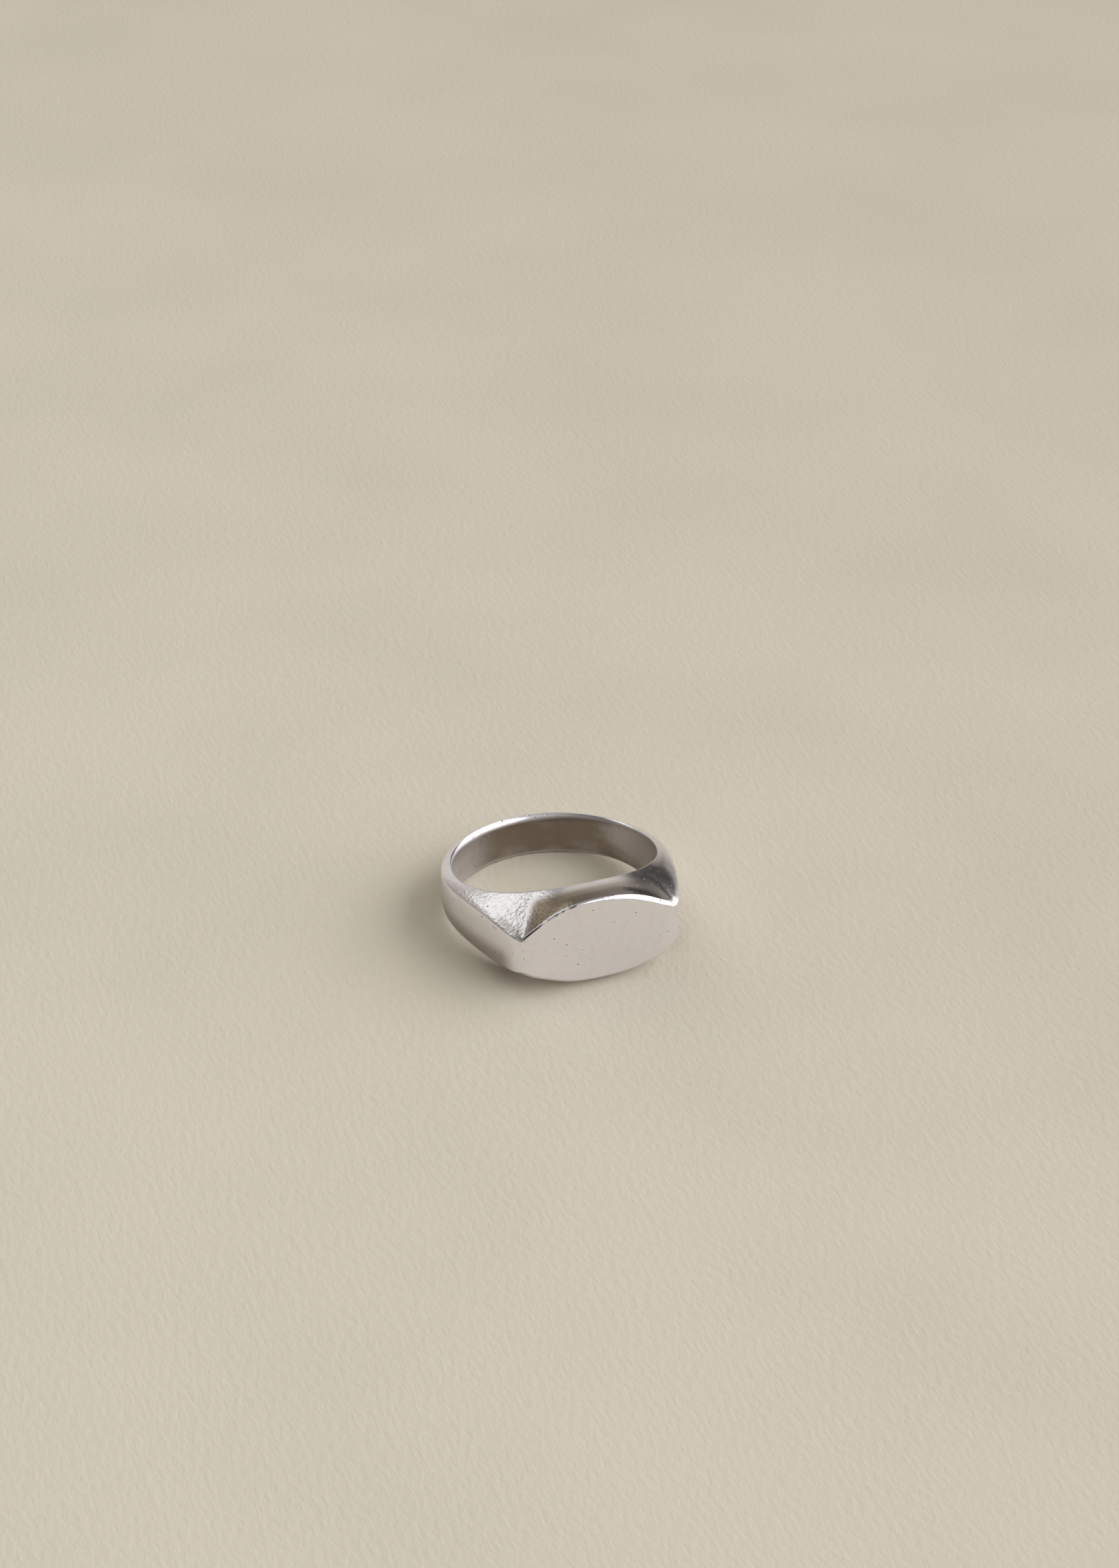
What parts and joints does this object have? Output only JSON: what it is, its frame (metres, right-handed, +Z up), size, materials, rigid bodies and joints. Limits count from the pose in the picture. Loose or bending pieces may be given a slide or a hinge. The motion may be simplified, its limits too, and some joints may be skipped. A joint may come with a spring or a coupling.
{
  "type": "signet ring",
  "caption": "Sterling silver finger ring with a flat barrel-shaped seal face, swelling shoulders and a narrow D-section shank.",
  "frame": {"origin": "bottom centre of the bounding box, on the table that the ring lies on", "axes": "+Z up from the table and nearly along the finger hole, -Y out through the seal face, +X to the right seen from the seal face"},
  "size_m": [0.0194, 0.0208, 0.0079],
  "materials": {
    "silver": "sterling silver, soft worn polish with fine scratches, small pits and a slightly grainy cast skin",
    "solder": "hard silver solder, filed flush and polished with the silver"
  },
  "bodies": {
    "root": {"seal_plate": "silver", "head_block": "silver", "left_shoulder": "silver", "right_shoulder": "silver", "left_shank": "silver", "right_shank": "silver", "plate_solder": "solder", "left_head_solder": "solder", "right_head_solder": "solder", "left_shank_solder": "solder", "right_shank_solder": "solder", "back_solder": "solder"}
  },
  "joints": []
}
